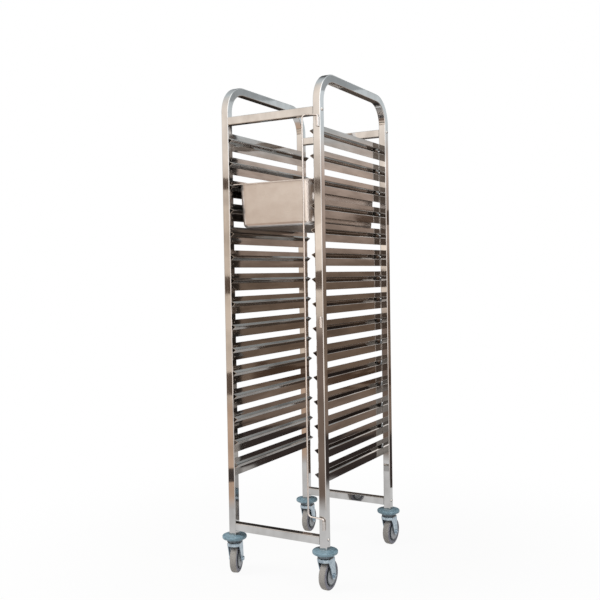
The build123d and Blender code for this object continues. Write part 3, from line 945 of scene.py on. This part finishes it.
# Azimuths are in degrees, with the right at 0, the back at 90 and the front at -90; heights and
# distances from the middle are in metres. AT means a middle and a half width.
PALE_FLOOR, BEHIND_AT = "#BDBCBB", (102.0, 42.0)
STRIP_DARK, STRIP_BROWN, STRIP_AT = "#38312F", "#7D6D62", (57.0, 12.0)
CRATE_COLOUR, CRATE_AT, CRATE_REACH_AT = "#403A37", (-124.0, 2.5), (1.77, 0.15)
COUNTER_COLOUR, COUNTER_AT = "#73645B", (-112.0, 6.0)
BEAM_HEIGHT_AT, BEAM_BRIGHT = (2.62, 0.07), 0.55
BLIND_AT, BLIND_COVER, BLIND_LOW, BLIND_HIGH = (62.0, 9.0), 0.85, 1.0, 2.2
BLIND_STOPS = ((0.0, "#8F7E73"), (0.5, "#AA988D"), (0.72, "#C6B1A4"), (1.0, "#CFC7C1"))
# Soft changes: what is measured, where the change starts and where it ends
SOFT_CHANGES = {
    "past_pale_floor": ("reach", 1.12, 1.4), "past_dark_strip": ("reach", 2.35, 2.75),
    "off_floor": ("height", 0.04, 0.12), "near_ceiling": ("height", 1.35, 2.35),
    "below_counter": ("height", 0.8, 0.5), "above_blind_foot": ("height", 1.0, 1.25),
    "below_blind_head": ("height", 2.3, 1.98),
}
# Blocks of furniture, and the tones that the wall's colour is multiplied by in them
BLOCK_WIDTH, BLOCK_HEIGHT, BLOCK_SHARE = 0.5, 0.25, 0.8
BLOCK_TONES = (
    (0.0, (0.6, 0.57, 0.55, 1)), (0.14, (0.62, 0.6, 0.58, 1)), (0.16, (0.8, 0.79, 0.78, 1)),
    (0.5, (0.76, 0.74, 0.72, 1)), (0.84, (0.9, 0.9, 0.9, 1)), (0.87, (1.0, 1.0, 1.0, 1)),
    (1.0, (1.0, 1.0, 1.0, 1)),
)
# Cupboards: azimuth, height, half width and half height
CUPBOARD_COLOUR, CUPBOARD_BRIGHT, CUPBOARD_COVER = "#4E3C30", 0.45, 0.92
CUPBOARDS = (
    (-124.2, 0.97, 2.2, 0.07), (-124.2, 0.20, 2.2, 0.08), (-124.2, 1.76, 1.6, 0.05),
    (-113.8, 1.745, 2.0, 0.05), (-113.8, 0.995, 2.4, 0.07), (-119.2, 0.62, 1.6, 0.08),
    (62.0, 0.20, 4.0, 0.06), (65.0, 1.50, 2.5, 0.06), (-104.0, 0.45, 3.0, 0.12),
)


def dimmed(hex_colour, bright=DIM):
    """A linear colour at a share of its brightness."""
    return [part * bright for part in linear(hex_colour)]


def patch_share(tree, spans, shares=()):
    """A patch of the room: a product of shares, kept where each span's measure lies within it.

    A span is a measure, its middle and its half width.
    """
    inside = [
        add_node(
            tree, "ShaderNodeMath", {0: measure, 1: middle, 2: half_width}, operation="COMPARE"
        ).outputs[0]
        for measure, middle, half_width in spans
    ]
    patch, *others = (*inside, *shares)
    for share in others:
        patch = add_node(
            tree, "ShaderNodeMath", {0: patch, 1: share}, operation="MULTIPLY"
        ).outputs[0]
    return patch


def furnished(tree, around, height, ramp, radius):
    """The wall's colours with blocks of furniture and fittings, a few dark and a few bright.

    They are the cells of a Voronoi pattern on the unrolled wall.
    """
    blocks_round = 2 * pi * radius / BLOCK_WIDTH
    across, up = (
        add_node(tree, "ShaderNodeMath", {0: measure, 1: blocks}, operation="MULTIPLY").outputs[0]
        for measure, blocks in ((around, blocks_round), (height, 1 / BLOCK_HEIGHT))
    )
    spot = add_node(tree, "ShaderNodeCombineXYZ", {0: across, 1: up}).outputs[0]
    cells = add_node(
        tree, "ShaderNodeTexVoronoi", {"Vector": spot, "Scale": 1.0, "Randomness": 0.8},
        voronoi_dimensions="2D", distance="CHEBYCHEV",
    )
    pick = add_node(tree, "ShaderNodeSeparateColor", {0: cells.outputs["Color"]}).outputs[0]
    tone = add_node(tree, "ShaderNodeValToRGB", {0: pick}, stops=BLOCK_TONES).outputs["Color"]
    return add_node(
        tree, "ShaderNodeMix", {0: BLOCK_SHARE, 6: ramp, 7: tone},
        data_type="RGBA", blend_type="MULTIPLY",
    ).outputs[2]


def room_glow(settings):
    """The mirrored room's colours by direction and height.

    The wall is bright before the trolley, with one dark part to the right of its middle, tan at
    the front left, brown at the back right and the left, and nearly black at the back left. The
    ceiling is pale except behind.
    """
    material, tree, output, place = empty_material("Mirrored room")
    x, y, height = add_node(tree, "ShaderNodeSeparateXYZ", {0: place}).outputs
    angle = add_node(tree, "ShaderNodeMath", {0: y, 1: x}, operation="ARCTAN2").outputs[0]
    around = add_node(tree, "ShaderNodeMapRange", {0: angle, 1: -pi, 2: pi}).outputs[0]
    turn = add_node(tree, "ShaderNodeMath", {0: angle}, operation="DEGREES").outputs[0]
    reach = add_node(tree, "ShaderNodeVectorMath", {0: place}, operation="LENGTH").outputs["Value"]
    up_blind = add_node(
        tree, "ShaderNodeMapRange", {0: height, 1: BLIND_LOW, 2: BLIND_HIGH}
    ).outputs[0]
    measures = {"reach": reach, "height": height}
    soft = {
        name: add_node(
            tree, "ShaderNodeMapRange", {0: measures[measure], 1: start, 2: end},
            interpolation_type="SMOOTHSTEP",
        ).outputs[0]
        for name, (measure, start, end) in SOFT_CHANGES.items()
    }
    ramps = (
        (around, ROOM_FLOOR), (around, ROOM_WALL), (around, ROOM_UPPER), (up_blind, BLIND_STOPS)
    )
    floor_ramp, wall_ramp, upper_ramp, tan = (
        add_node(
            tree, "ShaderNodeValToRGB", {0: measure},
            stops=[(share, dimmed(*look)) for share, *look in stops],
        ).outputs["Color"]
        for measure, stops in ramps
    )

    # The floor is pale near the trolley though not behind it, where a dark strip of it lies before
    # a brown one on the right; a crate stands on it
    strip = laid_over(
        tree, dimmed(STRIP_DARK), [(soft["past_dark_strip"], dimmed(STRIP_BROWN))]
    )
    striped = laid_over(tree, floor_ramp, [(patch_share(tree, [(turn, *STRIP_AT)]), strip)])
    behind = patch_share(tree, [(turn, *BEHIND_AT)])
    far = add_node(
        tree, "ShaderNodeMath", {0: soft["past_pale_floor"], 1: behind}, operation="MAXIMUM"
    ).outputs[0]
    crate = patch_share(tree, [(turn, *CRATE_AT), (reach, *CRATE_REACH_AT)])
    ground = laid_over(
        tree, dimmed(PALE_FLOOR), [(far, striped), (crate, dimmed(CRATE_COLOUR))]
    )

    # The lower wall has furniture and a brown counter, the upper one a dark beam
    busy = furnished(tree, around, height, wall_ramp, settings.room_radius)
    counter = patch_share(tree, [(turn, *COUNTER_AT)], [soft["below_counter"]])
    wall = laid_over(tree, busy, [(counter, dimmed(COUNTER_COLOUR))])
    beam = patch_share(tree, [(height, *BEAM_HEIGHT_AT)])
    value = add_node(tree, "ShaderNodeMapRange", {0: beam, 3: 1.0, 4: BEAM_BRIGHT}).outputs[0]
    upper = add_node(
        tree, "ShaderNodeHueSaturation", {"Color": upper_ramp, "Value": value}
    ).outputs[0]

    # A tan blind hangs before the wall behind the trolley, paler towards its top, and dark
    # cupboards stand before the wall
    blind = patch_share(
        tree, [(turn, *BLIND_AT)],
        [soft["above_blind_foot"], soft["below_blind_head"], BLIND_COVER],
    )
    layers = [(soft["off_floor"], wall), (soft["near_ceiling"], upper), (blind, tan)]
    for azimuth, middle, half_width, half_height in CUPBOARDS:
        spans = [(turn, azimuth, half_width), (height, middle, half_height)]
        cupboard = patch_share(tree, spans, [CUPBOARD_COVER])
        layers.append((cupboard, dimmed(CUPBOARD_COLOUR, CUPBOARD_BRIGHT)))
    seen = laid_over(tree, ground, layers)
    glow = add_node(tree, "ShaderNodeEmission", {"Color": seen, "Strength": settings.room_glow})
    tree.links.new(glow.outputs[0], output.inputs["Surface"])
    return material


def build_world():
    """White to the camera and in reflections, and an even pale light otherwise."""
    even_light = 0.42
    world = bpy.data.worlds.new("Studio")
    bpy.context.scene.world = world
    world.use_nodes = True
    tree = world.node_tree
    tree.nodes.clear()
    ambient, white = (
        add_node(tree, "ShaderNodeBackground", {"Color": (1, 1, 1, 1), "Strength": strength})
        for strength in (even_light, 1.0)
    )
    mix = add_node(
        tree, "ShaderNodeMixShader",
        {0: seen_directly(tree), 1: ambient.outputs[0], 2: white.outputs[0]},
    )
    output = add_node(tree, "ShaderNodeOutputWorld")
    tree.links.new(mix.outputs[0], output.inputs["Surface"])


def add_lamp(name, place, target, size, power):
    """A square soft box aimed at a point, which the polished steel doesn't mirror."""
    data = bpy.data.lights.new(name, "AREA")
    data.shape = "SQUARE"
    data.size = size
    data.energy = power
    lamp = bpy.data.objects.new(name, data)
    bpy.context.scene.collection.objects.link(lamp)
    lamp.location = place
    lamp.rotation_mode = "QUATERNION"
    lamp.rotation_quaternion = (Vector(target) - Vector(place)).to_track_quat("-Z", "Y")
    lamp.visible_glossy = False


def build_camera():
    """The photograph's view: place, turn, tilt, roll and lens fitted to the trolley's edges."""
    yaw, pitch, roll = radians(29.40), radians(1.74), radians(-0.94)
    place = (1.4332, -2.6426, 1.0411)
    focal_pixels, frame_pixels = 824.1, 600
    forward = Vector((-sin(yaw) * cos(pitch), cos(yaw) * cos(pitch), -sin(pitch)))
    right = Vector((cos(yaw), sin(yaw), 0))
    up = right.cross(forward)
    rolled_right = right * cos(roll) + up * sin(roll)
    rolled_up = up * cos(roll) - right * sin(roll)
    data = bpy.data.cameras.new("camera")
    data.sensor_width = 36.0
    data.lens = data.sensor_width * focal_pixels / frame_pixels
    camera = bpy.data.objects.new("camera", data)
    bpy.context.scene.collection.objects.link(camera)
    turn = Matrix((rolled_right, rolled_up, -forward)).transposed()
    camera.matrix_world = Matrix.Translation(place) @ turn.to_4x4()
    bpy.context.scene.camera = camera


class TROLLEY_PT_panel(bpy.types.Panel):
    """The trolley's settings and steps"""

    bl_idname = "TROLLEY_PT_panel"
    bl_label = "Trolley"
    bl_space_type = "VIEW_3D"
    bl_region_type = "UI"
    bl_category = "Trolley"

    def draw(self, context):
        scene = context.scene
        for group in (scene.trolley_frame, scene.trolley_castors, scene.trolley_stage):
            box = self.layout.box()
            for name in group.__annotations__:
                box.prop(group, name)
        for operator in OPERATORS:
            self.layout.operator(operator.bl_idname)


GROUPS = {
    "trolley_frame": FrameSettings,
    "trolley_castors": CastorSettings,
    "trolley_stage": StageSettings,
}
OPERATORS = (
    TROLLEY_OT_tubes, TROLLEY_OT_runners, TROLLEY_OT_rod,
    TROLLEY_OT_pan, TROLLEY_OT_castors, TROLLEY_OT_stage,
)
CLASSES = (*GROUPS.values(), *OPERATORS, TROLLEY_PT_panel)


def register():
    """Register the classes and hang the settings on the scene."""
    for item in CLASSES:
        bpy.utils.register_class(item)
    for name, group in GROUPS.items():
        setattr(bpy.types.Scene, name, PointerProperty(type=group))


def unregister():
    """Take the settings off the scene and the classes out again."""
    for name in GROUPS:
        delattr(bpy.types.Scene, name)
    for item in reversed(CLASSES):
        bpy.utils.unregister_class(item)


def main():
    """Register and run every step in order."""
    register()
    bpy.ops.trolley.tubes()
    bpy.ops.trolley.runners()
    bpy.ops.trolley.rod()
    bpy.ops.trolley.pan()
    bpy.ops.trolley.castors()
    bpy.ops.trolley.stage()


if __name__ == "__main__":
    main()
